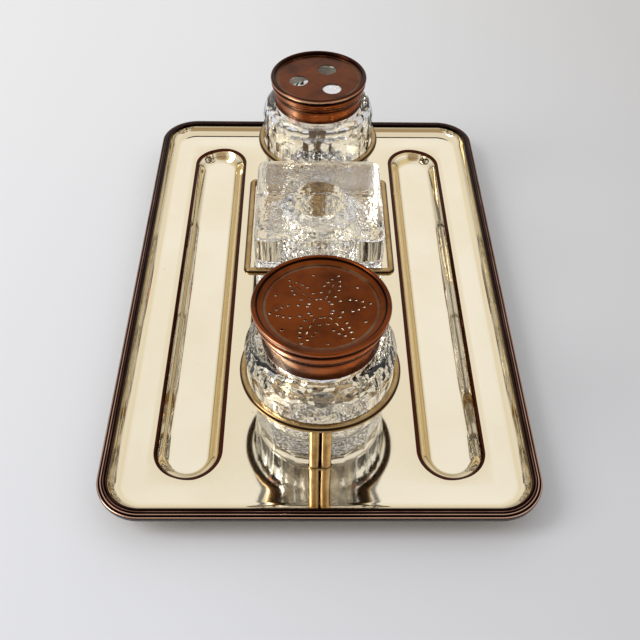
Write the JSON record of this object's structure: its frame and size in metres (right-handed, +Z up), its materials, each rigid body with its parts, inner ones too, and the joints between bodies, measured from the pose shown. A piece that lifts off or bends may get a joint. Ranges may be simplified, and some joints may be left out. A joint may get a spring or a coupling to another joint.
{
  "type": "desk inkstand",
  "caption": "Plated desk inkstand: footed tray with a reeded rim and two pen troughs, holding a pounce pot, a square glass inkwell and a quill pot in galleries.",
  "frame": {"origin": "on the table under the middle of the tray", "axes": "+Z up; +Y along the tray towards the quill pot; +X to the right of someone facing the pounce pot"},
  "size_m": [0.17, 0.255, 0.0705],
  "materials": {
    "plated_sheet": "polished plate, warm and mirror bright",
    "worn_copper_rim": "copper showing through worn plate",
    "gilt_brass": "aged bright",
    "cut_glass": "clear, cut and polished",
    "browned_copper": "browned, satin"
  },
  "bodies": {
    "stand": {"tray_pan": "plated_sheet", "reeded_rim": "worn_copper_rim", "foot_front_left": "gilt_brass", "foot_front_right": "gilt_brass", "foot_back_left": "gilt_brass", "foot_back_right": "gilt_brass", "pounce_ring": "gilt_brass", "pounce_post_front": "gilt_brass", "pounce_post_back": "gilt_brass", "inkwell_frame": "gilt_brass", "inkwell_post_front": "gilt_brass", "inkwell_post_back": "gilt_brass", "quill_ring": "gilt_brass", "quill_post_front": "gilt_brass", "quill_post_back": "gilt_brass", "stud_washers": "gilt_brass", "stud_nuts": "gilt_brass"},
    "pounce_pot": {"pounce_pot": "cut_glass"},
    "pounce_cover": {"pounce_collar": "browned_copper", "pounce_plate": "browned_copper"},
    "inkwell": {"inkwell": "cut_glass"},
    "quill_pot": {"quill_pot": "cut_glass"},
    "quill_cover": {"quill_collar": "browned_copper", "quill_plate": "browned_copper"}
  },
  "joints": [
    {"name": "pounce_lift", "type": "slide", "parent": "stand", "child": "pounce_pot", "axis": [0, 0, 1], "range_m": [0, 0.04]},
    {"name": "pounce_cover_lift", "type": "slide", "parent": "pounce_pot", "child": "pounce_cover", "axis": [0, 0, 1], "range_m": [0, 0.03]},
    {"name": "inkwell_lift", "type": "slide", "parent": "stand", "child": "inkwell", "axis": [0, 0, 1], "range_m": [0, 0.04]},
    {"name": "quill_lift", "type": "slide", "parent": "stand", "child": "quill_pot", "axis": [0, 0, 1], "range_m": [0, 0.04]},
    {"name": "quill_cover_lift", "type": "slide", "parent": "quill_pot", "child": "quill_cover", "axis": [0, 0, 1], "range_m": [0, 0.03]}
  ]
}
